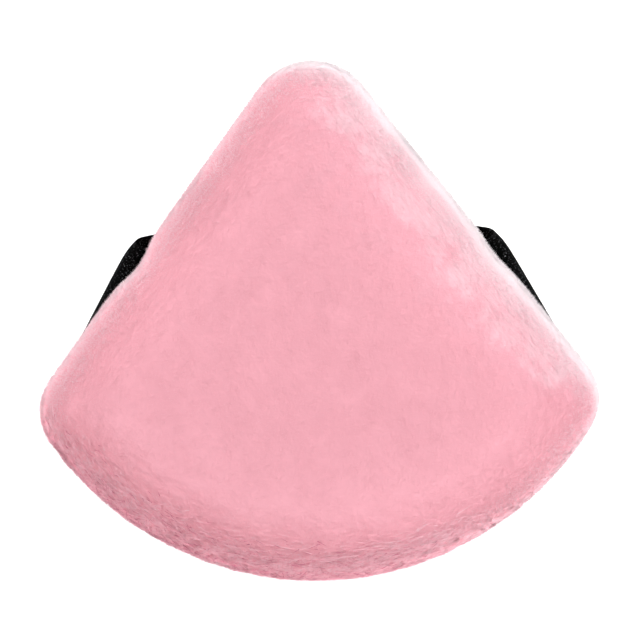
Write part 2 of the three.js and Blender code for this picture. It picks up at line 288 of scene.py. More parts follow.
def outline(inset, count):
    """The pad's outline drawn in by an inset: points a step apart, counter-clockwise from the middle of the
    base."""
    down = -math.pi / 2
    arcs = [
        ((0, BASE_Y), BASE_RADIUS, down, down + BASE_ANGLE),
        ((CORNER_X, CORNER_Y), CORNER_RADIUS, down + BASE_ANGLE, SIDE_ANGLE),
        None,
        ((0, TIP_Y), TIP_RADIUS, SIDE_ANGLE, math.pi / 2),
    ]
    side = math.hypot(CORNER_X - TIP_RADIUS * SIDE_NORMAL[0] + CORNER_RADIUS * SIDE_NORMAL[0],
                      TIP_Y + TIP_RADIUS * SIDE_NORMAL[1] - CORNER_Y - CORNER_RADIUS * SIDE_NORMAL[1])
    lengths = [arc[1] * (arc[3] - arc[2]) if arc else side for arc in arcs]
    ends = np.concatenate([[0], np.cumsum(lengths)])
    half = count // 2
    along = np.arange(half + 1) * ends[-1] / half

    def place(distance):
        i = min(int(np.searchsorted(ends, distance, side="right")) - 1, len(arcs) - 1)
        share = (distance - ends[i]) / lengths[i]
        if arcs[i]:
            (x, y), radius, start, stop = arcs[i]
            angle = start + (stop - start) * share
            return x + (radius - inset) * math.cos(angle), y + (radius - inset) * math.sin(angle)
        first = np.array([CORNER_X, CORNER_Y]) + (CORNER_RADIUS - inset) * SIDE_NORMAL
        last = np.array([0, TIP_Y]) + (TIP_RADIUS - inset) * SIDE_NORMAL
        return tuple(first + (last - first) * share)

    right = [place(distance) for distance in along]
    left = [(-x, y) for x, y in right[-2:0:-1]]
    return np.array(right + left)


def rim_distance(x, y):
    """How far points of the pad lie inside its outline."""
    x = np.abs(x)
    base = BASE_RADIUS - np.hypot(x, y - BASE_Y)
    right = SIDE_REACH - (SIDE_NORMAL[0] * x + SIDE_NORMAL[1] * y)
    left = SIDE_REACH - (-SIDE_NORMAL[0] * x + SIDE_NORMAL[1] * y)
    near = np.minimum(base, right)
    turn = np.arctan2(y - CORNER_Y, x - CORNER_X)
    in_corner = (turn > BASE_ANGLE - math.pi / 2) & (turn < SIDE_ANGLE) & (x > CORNER_X - CORNER_REACH)
    near = np.where(in_corner, CORNER_RADIUS - np.hypot(x - CORNER_X, y - CORNER_Y), near)
    in_tip = np.arctan2(y - TIP_Y, x) > SIDE_ANGLE
    near = np.where(in_tip, TIP_RADIUS - np.hypot(x, y - TIP_Y), near)
    soft = sum(np.maximum(d, CREST_LEAST) ** -CREST_POWER for d in (base, right, left))
    soft = soft ** (-1 / CREST_POWER) * 3 ** (1 / CREST_POWER)
    return near + (soft - near) * smoothstep(*CREST_DEPTHS, near)


def rim_place(x, y, z, face):
    """Places of points on a cover's own map: how far along the rim from the middle of the base, and how far
    up the surface from the seam's edge."""
    rim = outline(RIM_MAP_INSET, RIM_MAP_POINTS)[:RIM_MAP_POINTS // 2 + 1]
    tree = kdtree.KDTree(len(rim))
    for i, (rim_x, rim_y) in enumerate(rim):
        tree.insert((rim_x, rim_y, 0), i)
    tree.balance()
    step = np.linalg.norm(rim[1] - rim[0])
    along = np.empty(len(x))
    for i, (place_x, place_y) in enumerate(zip(np.abs(x).tolist(), y.tolist())):
        near = tree.find((place_x, place_y, 0))[1]
        ahead = rim[min(near + 1, len(rim) - 1)] - rim[max(near - 1, 0)]
        ahead /= np.linalg.norm(ahead)
        shift = ahead[0] * (place_x - rim[near, 0]) + ahead[1] * (place_y - rim[near, 1])
        along[i] = near * step + min(max(shift, -step), step)
    up = rim_distance(x, y) - np.maximum(face["rim_height"] - np.abs(z - SEAM_HEIGHT), 0)
    return along, up


def crown_height(face, depth, x, y, slack=0):
    """Height of a crowned face over the seam plane, a depth under its outer surface. Slack lowers the crown,
    but not its rim."""
    rim = face["rim_inset"] + depth
    share = np.clip((rim_distance(x, y) - rim) / (MIDDLE_DISTANCE - rim), 0, 1)
    rise = np.sqrt(1 - (1 - share) ** CROWN_FULLNESS)
    return face["rim_height"] + (face["crown"] - depth - slack - face["rim_height"]) * rise


def ribbon_reach(length):
    """How far out a place on the ribbon's path lies, and how high its middle surface is."""
    heel = np.clip((length - HEEL_START) / HEEL_RADIUS, 0, RIBBON_SLOPE)
    rise = np.clip(length - HEEL_END, 0, RIBBON_RUN)
    fold = np.clip((length - FOLD_START) / FOLD_RADIUS, 0, math.pi - RIBBON_SLOPE)
    turned = RIBBON_SLOPE + fold
    reach = (np.minimum(length, HEEL_START) + HEEL_RADIUS * np.sin(heel) + rise * math.cos(RIBBON_SLOPE)
             + FOLD_RADIUS * (np.sin(turned) - math.sin(RIBBON_SLOPE)) - np.maximum(length - FOLD_END, 0))
    height = (RIBBON_THICKNESS / 2 + HEEL_RADIUS * (1 - np.cos(heel)) + rise * math.sin(RIBBON_SLOPE)
              + FOLD_RADIUS * (math.cos(RIBBON_SLOPE) - np.cos(turned)))
    return reach, height


def ribbon_slip(across):
    """Where the ribbon lies along its fold line once it has turned back, for places across its width."""
    return (across - FOLD_NORMAL[1] * FOLD_TURN) / FOLD_NORMAL[0]


def ribbon_opening(x, y):
    """1 where the ribbon passes between the covers, and 0 away from it."""
    slip = FOLD_ALONG[0] * np.abs(x) + FOLD_ALONG[1] * y
    low = ribbon_slip(RIBBON_MIDDLE_Y - RIBBON_WIDTH / 2)
    high = ribbon_slip(RIBBON_MIDDLE_Y + RIBBON_WIDTH / 2)
    return (smoothstep(low - OPENING_FADE, low - OPENING_MARGIN, slip)
            * (1 - smoothstep(high + OPENING_MARGIN, high + OPENING_FADE, slip)))


def waves(points, shortest, longest, seed, count=24):
    """A smooth random field over points, about 1 high and low, made of waves of these lengths."""
    chance = np.random.default_rng(seed)
    field = np.zeros(len(points))
    for _ in range(count):
        way = chance.normal(size=3)
        way *= 2 * math.pi / np.linalg.norm(way) / chance.uniform(shortest, longest)
        field += np.sin(points @ way + chance.uniform(0, 2 * math.pi))
    return field / math.sqrt(count / 2)


# Meshes
def new_piece(name, points, faces):
    """A piece from points in millimetres."""
    mesh = bpy.data.meshes.new(name)
    mesh.from_pydata((np.asarray(points) * MM).tolist(), [], faces)
    piece = bpy.data.objects.new(name, mesh)
    bpy.context.scene.collection.objects.link(piece)
    mesh.shade_smooth()
    return piece


def make_active(piece):
    """Selects a piece alone, for the next operator."""
    bpy.ops.object.select_all(action="DESELECT")
    piece.select_set(True)
    bpy.context.view_layer.objects.active = piece


def add_modifier(piece, kind, **settings):
    """Puts a modifier on a piece and applies it."""
    make_active(piece)
    modifier = piece.modifiers.new(kind.title(), kind)
    for name, value in settings.items():
        setattr(modifier, name, value)
    bpy.ops.object.modifier_apply(modifier=modifier.name)


def read(items, key, width, kind=np.float32):
    """One property of all of a mesh's items, a row of this width for each."""
    values = np.empty(width * len(items), kind)
    items.foreach_get(key, values)
    return values.reshape(-1, width)


def points_of(piece):
    """A piece's points, in millimetres."""
    return read(piece.data.vertices, "co", 3).astype(float) / MM


def move_points(piece, place):
    """Moves a piece's points to places in millimetres."""
    piece.data.vertices.foreach_set("co", (place * MM).astype(np.float32).ravel())
    piece.data.update()


def corners_of(piece):
    """The corners and corner normals of a piece's triangles, in millimetres."""
    mesh = piece.data
    mesh.calc_loop_triangles()
    corner = read(mesh.loop_triangles, "vertices", 3, np.int32)
    return read(mesh.vertices, "co", 3)[corner] / MM, read(mesh.vertices, "normal", 3)[corner]


def add_map(piece, name, place):
    """Gives a piece a map of this name, from a place for each corner of its faces."""
    layer = piece.data.uv_layers.new(name=name)
    layer.uv.foreach_set("vector", place.astype(np.float32).ravel())


def set_painted_light(piece, lean):
    """Marks how far each point of a piece faces the upper right, the way that the key light and the nap come
    from;
    the colours read it as painted light and shade.
    """
    nap = piece.data.attributes.new("nap", "FLOAT", "POINT")
    nap.data.foreach_set("value", np.asarray(lean, np.float32))


def face_outwards(piece):
    make_active(piece)
    bpy.ops.object.mode_set(mode="EDIT")
    bpy.ops.mesh.select_all(action="SELECT")
    bpy.ops.mesh.normals_make_consistent(inside=False)
    bpy.ops.object.mode_set(mode="OBJECT")
    piece.data.shade_smooth()


# Velour covers
def quads_between(rows, count, outward):
    """Faces between rows of points, from the middle of the face outwards and over its edge."""
    faces = []
    for i in range(rows - 1):
        for j in range(count):
            k = (j + 1) % count
            quad = (i * count + j, (i + 1) * count + j, (i + 1) * count + k, i * count + k)
            faces.append(quad if outward else quad[::-1])
    return faces


def fill_loop(piece, first, count, face, depth, slack=0):
    """Fills one row of a piece with a grid that follows the crown."""
    mesh = piece.data
    before = len(mesh.vertices)
    make_active(piece)
    bpy.ops.object.mode_set(mode="EDIT")
    bpy.ops.mesh.select_mode(type="VERT")
    bpy.ops.mesh.select_all(action="DESELECT")
    bpy.ops.object.mode_set(mode="OBJECT")
    for vertex in mesh.vertices[first:first + count]:
        vertex.select = True
    bpy.ops.object.mode_set(mode="EDIT")
    bpy.ops.mesh.fill_grid(span=count // 4)
    bpy.ops.object.mode_set(mode="OBJECT")
    for vertex in mesh.vertices[before:]:
        height = crown_height(face, depth, vertex.co.x / MM, vertex.co.y / MM, slack)
        vertex.co.z = (SEAM_HEIGHT + face["side"] * height) * MM


def crown_rows(face, depth, count, slack=0):
    """Rows of points from the innermost one of a crowned face out to its rim."""
    rim = face["rim_inset"] + depth
    rows = []
    for share in CROWN_ROW_SHARES[::-1]:
        flat = outline(rim + (INNERMOST_INSET - rim) * share, count)
        rows.append((flat, crown_height(face, depth, flat[:, 0], flat[:, 1], slack)))
    return rows


def rolled_rows(face, rim, roll, height, steps, count):
    """Rows of points that roll in from a face's rim, down to a height over the seam plane."""
    rows = []
    for i in range(1, steps + 1):
        turn = math.pi / 2 * i / steps
        inset = rim + roll * (1 - math.cos(turn))
        level = face["rim_height"] - (face["rim_height"] - height) * math.sin(turn)
        rows.append((outline(inset, count), level))
    return rows


def stacked(rows, count):
    """Points of rows that are given as flat places and heights over the seam plane."""
    level = np.ones(count)
    return np.concatenate([np.column_stack([flat, SEAM_HEIGHT + height * level]) for flat, height in rows])


def cover_sheet(name, face):
    """The pile side of a cover, as one open sheet from its middle to its raw edge."""
    rim = face["rim_inset"] + NAP_DEPTH
    root = max(SEAM_INSET, rim + ROLL_DEPTH)
    edge = outline(root, RIM_POINTS)
    allowance = SEAM_GAP / 2 + RIBBON_ROOM * ribbon_opening(edge[:, 0], edge[:, 1])
    rows = crown_rows(face, NAP_DEPTH, RIM_POINTS, SWELL_CAP)
    rows += rolled_rows(face, rim, root - rim, allowance, ROLL_STEPS, RIM_POINTS)
    for share in ALLOWANCE_ROW_SHARES:
        inset = root + (SEAM_INSET + ALLOWANCE_DEPTH - root) * share
        rows.append((outline(inset, RIM_POINTS), allowance))
    side = face["side"]
    points = stacked([(flat, side * height) for flat, height in rows], RIM_POINTS)
    sheet = new_piece(name, points, quads_between(len(rows), RIM_POINTS, side > 0))
    fill_loop(sheet, 0, RIM_POINTS, face, NAP_DEPTH, SWELL_CAP)
    face_outwards(sheet)
    pinch_at_strap(sheet)
    return sheet


def pinch_at_strap(sheet):
    """Draws the side seams in a little where the strap's upper edge pulls at them."""
    place = points_of(sheet)
    pull = PINCH_DEPTH * np.exp(-((place[:, 1] - PINCH_Y) / PINCH_SPREAD) ** 2)
    pull *= np.where(place[:, 0] > 0, RIGHT_PINCH_SHARE, 1)
    pull *= 1 - smoothstep(*PINCH_DEPTHS, rim_distance(place[:, 0], place[:, 1]))
    place[:, 0] -= np.sign(place[:, 0]) * SIDE_NORMAL[0] * pull
    place[:, 1] -= SIDE_NORMAL[1] * pull
    move_points(sheet, place)


def swell(sheet, face):
    """Lets the foam press a sewn cover outwards: a cloth simulation on a copy ten times as large, whose
    points then move the cover's own by no more than the cap."""
    rest = points_of(sheet)
    faces = [list(f.vertices) for f in sheet.data.polygons]
    trial = new_piece("swelling_" + sheet.name, rest * SWELL_SCALE, faces)
    sewn = trial.vertex_groups.new(name="sewn")
    level = np.abs(rest[:, 2] - SEAM_HEIGHT)
    sewn.add(np.flatnonzero(level < SEWN_SHARE * face["rim_height"]).tolist(), 1, "REPLACE")
    cloth = trial.modifiers.new("Cloth", "CLOTH")
    cloth.settings.quality = SWELL_QUALITY
    cloth.settings.vertex_group_mass = "sewn"
    cloth.settings.use_pressure = True
    cloth.settings.uniform_pressure_force = SWELL_PRESSURE
    cloth.settings.effector_weights.gravity = 0
    cloth.collision_settings.use_collision = False
    for step in range(1, SWELL_STEPS + 1):
        bpy.context.scene.frame_set(step)
    result = trial.evaluated_get(bpy.context.evaluated_depsgraph_get())
    moved = points_of(result) / SWELL_SCALE - rest
    reach = np.linalg.norm(moved, axis=1, keepdims=True)
    moved *= np.tanh(reach / SWELL_CAP) * SWELL_CAP / np.maximum(reach, 1e-9)
    moved = spread_out(sheet, moved) * smoothstep(*SWELL_SHARES, level / face["rim_height"])[:, None]
    move_points(sheet, rest + moved)
    bpy.context.scene.frame_set(1)
    bpy.data.objects.remove(trial)


def spread_out(sheet, moved):
    """Shares each point's move with its neighbours, so that the cloth swells without small creases."""
    edge = read(sheet.data.edges, "vertices", 2, np.int32)
    one, other = edge.T
    count = np.bincount(edge.ravel(), minlength=len(moved))[:, None] + 1
    for _ in range(SPREAD_ROUNDS):
        total = moved.copy()
        np.add.at(total, one, moved[other])
        np.add.at(total, other, moved[one])
        moved = total / count
    return moved


def even_out(sheet):
    """Rounds a cover's crown off where the slopes from two sides of the outline meet in a line."""
    place = points_of(sheet)
    group = sheet.vertex_groups.new(name="crown")
    weight = smoothstep(*EVEN_OUT_DEPTHS, rim_distance(place[:, 0], place[:, 1]))
    weight *= np.abs(place[:, 2] - SEAM_HEIGHT) > EVEN_OUT_LEVEL
    for vertex in np.flatnonzero(weight > 0).tolist():
        group.add([vertex], float(weight[vertex]), "REPLACE")
    add_modifier(sheet, "SMOOTH", factor=EVEN_OUT_FACTOR, iterations=EVEN_OUT_ROUNDS, vertex_group="crown")
    sheet.vertex_groups.clear()


def map_rim(sheet, face):
    """Gives a cover its own map, along the rim and up from the seam, in which the pile parts in rows."""
    along, rise = rim_place(*points_of(sheet).T, face)
    corner = read(sheet.data.loops, "vertex_index", 1, np.int32).ravel()
    add_map(sheet, "Pile", (np.column_stack([along, rise]) / UV_SPAN)[corner])
    # How far each point faces the upper right, read by the velour's colour as painted light and shade
    set_painted_light(sheet, read(sheet.data.vertices, "normal", 3) @ LIGHT_AND_NAP_WAY)


# Fibres, foam and ribbon
def scattered_roots(chance, sheet, density, count):
    """Places on a sheet, as thick on the ground as density says, and the ways straight out of it there."""
    corner, normal = corners_of(sheet)
    area = np.linalg.norm(np.cross(corner[:, 1] - corner[:, 0], corner[:, 2] - corner[:, 0]), axis=1)
    area = area * density(*corner.mean(1).T)
    chosen = chance.choice(len(area), count, p=area / area.sum())
    u, v = chance.uniform(size=(2, count, 1))
    u, v = np.where(u + v > 1, 1 - u, u), np.where(u + v > 1, 1 - v, v)
    share = np.concatenate([1 - u - v, u, v], 1)[:, :, None]
    up = (normal[chosen] * share).sum(1)
    return (corner[chosen] * share).sum(1), up / np.linalg.norm(up, axis=1, keepdims=True)


def lying_lean(chance, up, length):
    """How far strands of this length lean when they lie along the rim, either way and a little astray."""
    count = len(up)
    way = np.column_stack([-up[:, 1], up[:, 0], np.zeros(count)])
    way = way / np.linalg.norm(way, axis=1, keepdims=True) + STRAND_STRAY * chance.normal(size=(count, 3))
    share = chance.choice([-1, 1], count) * chance.uniform(*STRAND_LENGTH_SHARES, size=count)
    return length * way * share[:, None]


def spikes(name, chance, root, up, tip, width, shade):
    """Closed three-sided spikes. They are shaded nearly as the cloth under them is, each a little rounded."""
    count = len(root)
    across = np.cross(up, chance.normal(size=(count, 3)))
    across /= np.linalg.norm(across, axis=1, keepdims=True)
    along = np.cross(up, across)
    width = width * chance.uniform(*FIBRE_WIDTH_SHARES, size=(count, 1))
    foot = root - FIBRE_SINK * up
    sides = [math.cos(t) * across + math.sin(t) * along for t in (0, 2 * math.pi / 3, 4 * math.pi / 3)]
    points = np.stack([*(foot + width / 2 * side for side in sides), tip], 1).reshape(-1, 3)
    base = 4 * np.arange(count)[:, None, None]
    faces = (base + np.array([[0, 1, 3], [1, 2, 3], [2, 0, 3], [0, 2, 1]])).reshape(-1, 3)
    piece = new_piece(name, points, faces.tolist())
    soft = np.stack([*(up + FIBRE_ROUNDNESS * side + shade for side in sides), up + shade], 1).reshape(-1, 3)
    piece.data.normals_split_custom_set_from_vertices(soft / np.linalg.norm(soft, axis=1, keepdims=True))
    add_map(piece, "OFBake", points[:, :2][faces.ravel()] / (PAD_WIDTH + BAKE_MARGIN) + 0.5)
    return piece


def pile_fibres(name, sheet, face, density, count, seed, lie=0, width=FIBRE_WIDTH, tone=FIBRE_TONE):
    """Fine closed spikes that stand out of a sheet's pile, as thick on the ground as density says, or lie
    along its rim where they have a length to lie. Tone is how much one differs in colour from the next."""
    chance = np.random.default_rng(seed)
    root, up = scattered_roots(chance, sheet, density, TRIES_PER_FIBRE * count)
    along, rise = rim_place(*root.T, face)
    rows = np.column_stack([along / CLUMP_STRETCH, rise, root[:, 2] / CLUMP_STRETCH])
    open_pile = smoothstep(*OPEN_PILE_NAPS, -up @ LIGHT_AND_NAP_WAY)
    parting = open_pile * np.exp(-(waves(rows, *CLUMP_WAVES, PARTING_SEED) / PARTING_WIDTH) ** 2)
    parting = parting * (1 - smoothstep(*PARTING_RISES, rise))
    kept = np.flatnonzero(chance.uniform(size=len(root)) > parting)[:count]
    root, rows, up, open_pile = (part[kept] for part in (root, rows, up, open_pile))
    clump = np.column_stack([waves(rows, *CLUMP_WAVES, CLUMP_SEED + i) for i in (1, 2, 3)])
    clump -= up * (clump * up).sum(1, keepdims=True)
    clump *= open_pile[:, None]
    nap = np.column_stack([waves(root, *NAP_WAVES, NAP_SEED + i) for i in (1, 2, 3)])
    lean = CLUMP_LEAN * clump + NAP_LEAN * nap + STRAY_LEAN * chance.normal(size=(count, 3))
    lift = STRAND_LIFT if lie else 0
    if lie:
        root = root + lift * up
        lean += lying_lean(chance, up, lie)
    lean -= up * (lean * up).sum(1, keepdims=True)
    height = FIBRE_HEIGHT * (1 + TUFT_HEIGHT * open_pile * waves(rows, *TUFT_WAVES, TUFT_SEED)
                             + FIBRE_HEIGHT_SPREAD * chance.normal(size=count))
    standing = np.maximum(open_pile, 1 - smoothstep(*STANDING_SLOPES, np.abs(up[:, 2])))
    height *= SMOOTHED_SHARE + (1 - SMOOTHED_SHARE) * standing
    tip = root + up * np.clip(height - lift, *FIBRE_RISES)[:, None] + lean
    piece = spikes(name, chance, root, up, tip, width, CLUMP_SHADE * clump)
    # How far each fibre faces the upper right, with a random tone on top: its colour reads this as painted
    # light and shade
    set_painted_light(piece, np.repeat(up @ LIGHT_AND_NAP_WAY + tone * chance.normal(size=count), 4))
    return piece


def clear_of_seam(z):
    """0 near the plane of the seam, where no fibre stands, and 1 clear of it."""
    return smoothstep(*SEAM_DISTANCES, abs(z - SEAM_HEIGHT))


def face_density(x, y, z):
    """Fibres stand thick at the rim and thin out towards the middle, where only their tips are seen."""
    rim = 1 - smoothstep(*FACE_DEPTHS, rim_distance(x, y))
    return MIDDLE_SHARE + (1 - MIDDLE_SHARE) * rim * clear_of_seam(z)


def rim_density(x, y, z):
    """The second layer of fibres, where the cover bends round the rim."""
    return (1 - smoothstep(*RIM_DEPTHS, rim_distance(x, y))) * clear_of_seam(z)


def ruffled_density(x, y, z):
    """Strands lie ruffled along the base of the pad, and more on its left."""
    low = smoothstep(*STRAND_PLACES, -(STRAND_WAY[0] * x + STRAND_WAY[1] * y))
    return low * (1 - smoothstep(*STRAND_DEPTHS, rim_distance(x, y))) * clear_of_seam(z)


def dress(piece, material):
    """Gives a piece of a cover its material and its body."""
    piece.data.materials.append(material)
    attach(piece, "pad")


def pile_layer(side, layer, cover, face, density, seed, material):
    """A layer of a cover's pile, one piece for each half."""
    for i, half in enumerate(("right", "left")):
        def half_density(x, y, z):
            return density(x, y, z) * ((x > 0) == (half == "right"))
        name = f"{side}_{layer}_{half}"
        dress(pile_fibres(name, cover, face, half_density, FIBRES, seed + i), material)


def velour_cover(side, face, layers, strands, seed):
    """A cover with its pile: layers of fibres by name, and strands along its base."""
    cover = cover_sheet(side + "_velour_cover", face)
    swell(cover, face)
    even_out(cover)
    add_modifier(cover, "SUBSURF", levels=1, render_levels=1)
    map_rim(cover, face)
    for layer, (density, material, layer_seed) in layers.items():
        pile_layer(side, layer, cover, face, density, seed + layer_seed, material)
    dress(pile_fibres(side + "_ruffled_strands", cover, face, ruffled_density, strands, seed + STRAND_SEED,
                      STRAND_LENGTH, STRAND_WIDTH, STRAND_TONE), strand_material)
    add_modifier(cover, "SOLIDIFY", thickness=VELOUR_THICKNESS * MM, offset=-1)
    dress(cover, ground_material)
    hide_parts(side + "_cover")
    return cover


def foam_filling(name):
    """The foam core: crowned on both faces, with a groove round its edge for the covers' allowances."""
    depth = NAP_DEPTH + VELOUR_THICKNESS + FOAM_CLEARANCE
    groove = SEAM_INSET + ALLOWANCE_DEPTH + FOAM_CLEARANCE
    lip = SEAM_GAP / 2 + VELOUR_THICKNESS + FOAM_CLEARANCE + RIBBON_ROOM
    rows = []
    for face in (FRONT, BACK):
        half = crown_rows(face, depth, FOAM_POINTS)
        half += rolled_rows(face, face["rim_inset"] + depth, FOAM_LIP, lip, FOAM_LIP_STEPS, FOAM_POINTS)
        half.append((outline(groove, FOAM_POINTS), lip))
        half = [(flat, face["side"] * height) for flat, height in half]
        rows += half if face is FRONT else half[::-1]
    foam = new_piece(name, stacked(rows, FOAM_POINTS), quads_between(len(rows), FOAM_POINTS, True))
    fill_loop(foam, 0, FOAM_POINTS, FRONT, depth)
    fill_loop(foam, (len(rows) - 1) * FOAM_POINTS, FOAM_POINTS, BACK, depth)
    face_outwards(foam)
    return foam


def satin_ribbon(name):
    """The finger strap's ribbon as one sheet: its middle surface from end to end, then its thickness."""
    across = RIBBON_MIDDLE_Y + RIBBON_WIDTH * (np.linspace(0, 1, RIBBON_ROWS) - 0.5)
    last = FOLD_END + FOLD_REACH - FOLD_RADIUS - (
        SIDE_REACH - SEAM_INSET - RIBBON_TAIL - SIDE_NORMAL @ FOLD_ALONG * ribbon_slip(across)
    ) / (SIDE_NORMAL @ FOLD_NORMAL)
    end = (last - FOLD_NORMAL[1] * across) / FOLD_NORMAL[0]
    along = np.linspace(-1, 1, RIBBON_COLUMNS)[:, None] * end[None, :]
    length = FOLD_NORMAL[0] * np.abs(along) + FOLD_NORMAL[1] * across[None, :]
    slip = (across - FOLD_NORMAL[1] * np.minimum(length, FOLD_TURN)) / FOLD_NORMAL[0]
    reach, height = ribbon_reach(length)
    edge = (across - RIBBON_MIDDLE_Y) / (RIBBON_WIDTH / 2)
    slack = np.where(edge > 0, TOP_EDGE_SLACK, LOW_EDGE_SLACK) * np.abs(edge) ** SLACK_POWER
    slack = slack * smoothstep(FOLD_START - SLACK_LEAD, FOLD_TURN, length)
    reach = reach - slack * (1 - smoothstep(FOLD_TURN, last[None, :], length))
    x = np.sign(along) * (FOLD_NORMAL[0] * reach + FOLD_ALONG[0] * slip)
    y = FOLD_NORMAL[1] * reach + FOLD_ALONG[1] * slip
    free = smoothstep(0, HEEL_START, length) * (1 - smoothstep(HEEL_END, FOLD_START, length))
    flat = np.column_stack([along.ravel(), np.tile(across, RIBBON_COLUMNS), np.zeros(along.size)])
    wave = (1 + waves(flat, *RIBBON_WAVES, RIBBON_SEED)).clip(0).reshape(height.shape)
    height = height + RIBBON_WAVE * free * wave
    points = np.stack([x, y, height], 2).reshape(-1, 3)
    k = np.arange(along.size).reshape(along.shape)
    faces = np.stack([k[:-1, :-1], k[1:, :-1], k[1:, 1:], k[:-1, 1:]], 2).reshape(-1, 4)
    ribbon = new_piece(name, points, faces.tolist())
    add_map(ribbon, "Weave", flat[:, :2][faces.ravel()] / UV_SPAN + 0.5)
    add_modifier(ribbon, "SOLIDIFY", thickness=RIBBON_THICKNESS * MM, offset=0)
    return ribbon


# Materials
def new_material(name, colour, roughness, sheen=0.0, sheen_roughness=0.5):
    material = bpy.data.materials.new(name)
    material.use_nodes = True
    shader = material.node_tree.nodes["Principled BSDF"]
    shader.inputs["Base Color"].default_value = (*colour, 1)
    shader.inputs["Roughness"].default_value = roughness
    shader.inputs["Sheen Weight"].default_value = sheen
    shader.inputs["Sheen Roughness"].default_value = sheen_roughness
    shader.inputs["Sheen Tint"].default_value = (1, 1, 1, 1)
    return material, material.node_tree, shader


def linear(red, green, blue):
    """A colour written as seen on a screen, as the shader reads it."""
    return tuple((c / 12.92 if c <= 0.04045 else ((c + 0.055) / 1.055) ** 2.4)
                 for c in (red / 255, green / 255, blue / 255))


def add_node(nodes, kind, **settings):
    """A node with its settings: its own, or else values of its sockets of that name."""
    node = nodes.nodes.new(kind)
    for name, value in settings.items():
        if hasattr(node, name):
            setattr(node, name, value)
        else:
            node.inputs[name.replace("_", " ").title()].default_value = value
    return node


def remap(nodes, value, start, result, **settings):
    """Spreads a value from one range over another."""
    spread = add_node(nodes, "ShaderNodeMapRange", from_min=start[0], from_max=start[1],
                      to_min=result[0], to_max=result[1], **settings)
    nodes.links.new(value, spread.inputs["Value"])
    return spread.outputs["Result"]


def two_colours(nodes, value, places, colours):
    """A ramp between two colours, from the values where it starts and ends."""
    ramp = add_node(nodes, "ShaderNodeValToRGB")
    for element, position, colour in zip(ramp.color_ramp.elements, places, colours):
        element.position = position
        element.color = (*colour, 1)
    nodes.links.new(value, ramp.inputs[0])
    return ramp.outputs[0]


def painted_light_ramp(nodes, value, stops):
    """Colours with painted light and shade: painted shade where a point faces the lower left, away from the
    key light, and a painted pale sheen where it faces the upper right, towards it.
    """
    ramp = add_node(nodes, "ShaderNodeValToRGB")
    ramp.color_ramp.interpolation = "EASE"
    elements = ramp.color_ramp.elements
    while len(elements) < len(stops):
        elements.new(0.5)
    for element, (nap, colour) in zip(elements, stops):
        element.position = (nap + PAINTED_LIGHT_SPAN) / (2 * PAINTED_LIGHT_SPAN)
        element.color = (*linear(*colour), 1)
    nodes.links.new(remap(nodes, value, (-PAINTED_LIGHT_SPAN, PAINTED_LIGHT_SPAN), (0, 1)), ramp.inputs[0])
    return ramp.outputs[0]


def noise_on(nodes, place, **settings):
    """Noise at places of an object or of a map."""
    noise = add_node(nodes, "ShaderNodeTexNoise", **settings)
    nodes.links.new(place, noise.inputs["Vector"])
    return noise.outputs["Fac"]


def stretched(nodes, place, scales):
    """A map stretched, so that a noise of scale 1 on it has about so many features a millimetre each way."""
    stretch = add_node(nodes, "ShaderNodeMapping")
    stretch.inputs["Scale"].default_value = (UV_SPAN * scales[0], UV_SPAN * scales[1], 1)
    nodes.links.new(place, stretch.inputs["Vector"])
    return stretch.outputs["Vector"]


def add_bump(nodes, shader, height, strength, depth):
    """Lets a height, so many millimetres deep, bend a shader's normals."""
    bump = add_node(nodes, "ShaderNodeBump", strength=strength, distance=depth * MM)
    nodes.links.new(height, bump.inputs["Height"])
    nodes.links.new(bump.outputs["Normal"], shader.inputs["Normal"])


def pile(name, stops):
    """The fibres that stand out of the velour."""
    material, nodes, shader = new_material(name, (0.9, 0.5, 0.55), 0.9, SHEEN, SHEEN_ROUGHNESS)
    # Its colour carries painted light and shade, by how far each fibre faces the upper right
    nap = add_node(nodes, "ShaderNodeAttribute", attribute_name="nap")
    nodes.links.new(painted_light_ramp(nodes, nap.outputs["Fac"], stops), shader.inputs["Base Color"])
    return material


def velour(name, stops):
    """The cloth under the fibres: soft patches where the nap leans another way, single strokes, and near the
    rim rows where the pile parts along it. Its colour is painted light and shade by how far it faces the
    upper right, which also makes the rows stand out dark at the lower left."""
    material, nodes, shader = new_material(name, (0.9, 0.4, 0.5), 0.95, SHEEN, SHEEN_ROUGHNESS)
    place = add_node(nodes, "ShaderNodeTexCoord").outputs["Object"]
    patches = noise_on(nodes, place, scale=PATCH_SCALE, detail=3, roughness=0.5)
    strokes = noise_on(nodes, place, scale=STROKE_SCALE, detail=4, roughness=0.6)
    rim_map = add_node(nodes, "ShaderNodeUVMap", uv_map="Pile").outputs["UV"]
    along_rim = stretched(nodes, rim_map, ROW_SCALES)
    rows = noise_on(nodes, along_rim, scale=1, detail=3, roughness=0.6, distortion=0.4)
    rise = add_node(nodes, "ShaderNodeSeparateXYZ")
    nodes.links.new(rim_map, rise.inputs[0])
    rises = (ROW_RISES[0] / UV_SPAN, ROW_RISES[1] / UV_SPAN)
    near_rim = remap(nodes, rise.outputs["Y"], rises, (ROW_SHARE, 0), interpolation_type="SMOOTHSTEP")
    texture = add_node(nodes, "ShaderNodeMix", data_type="FLOAT")
    for socket, value in ((0, near_rim), (2, strokes), (3, rows)):
        nodes.links.new(value, texture.inputs[socket])
    blend = add_node(nodes, "ShaderNodeMath", operation="MULTIPLY_ADD")
    nodes.links.new(texture.outputs[0], blend.inputs[0])
    blend.inputs[1].default_value = STROKE_SHARE
    nodes.links.new(patches, blend.inputs[2])
    nap = add_node(nodes, "ShaderNodeAttribute", attribute_name="nap")
    shade = add_node(nodes, "ShaderNodeMath", operation="ADD")
    nodes.links.new(nap.outputs["Fac"], shade.inputs[0])
    nodes.links.new(remap(nodes, blend.outputs[0], MOTTLE_RANGE, (-MOTTLE, MOTTLE)), shade.inputs[1])
    nodes.links.new(painted_light_ramp(nodes, shade.outputs[0], stops), shader.inputs["Base Color"])
    add_bump(nodes, shader, texture.outputs[0], strength=0.6, depth=0.12)
    return material


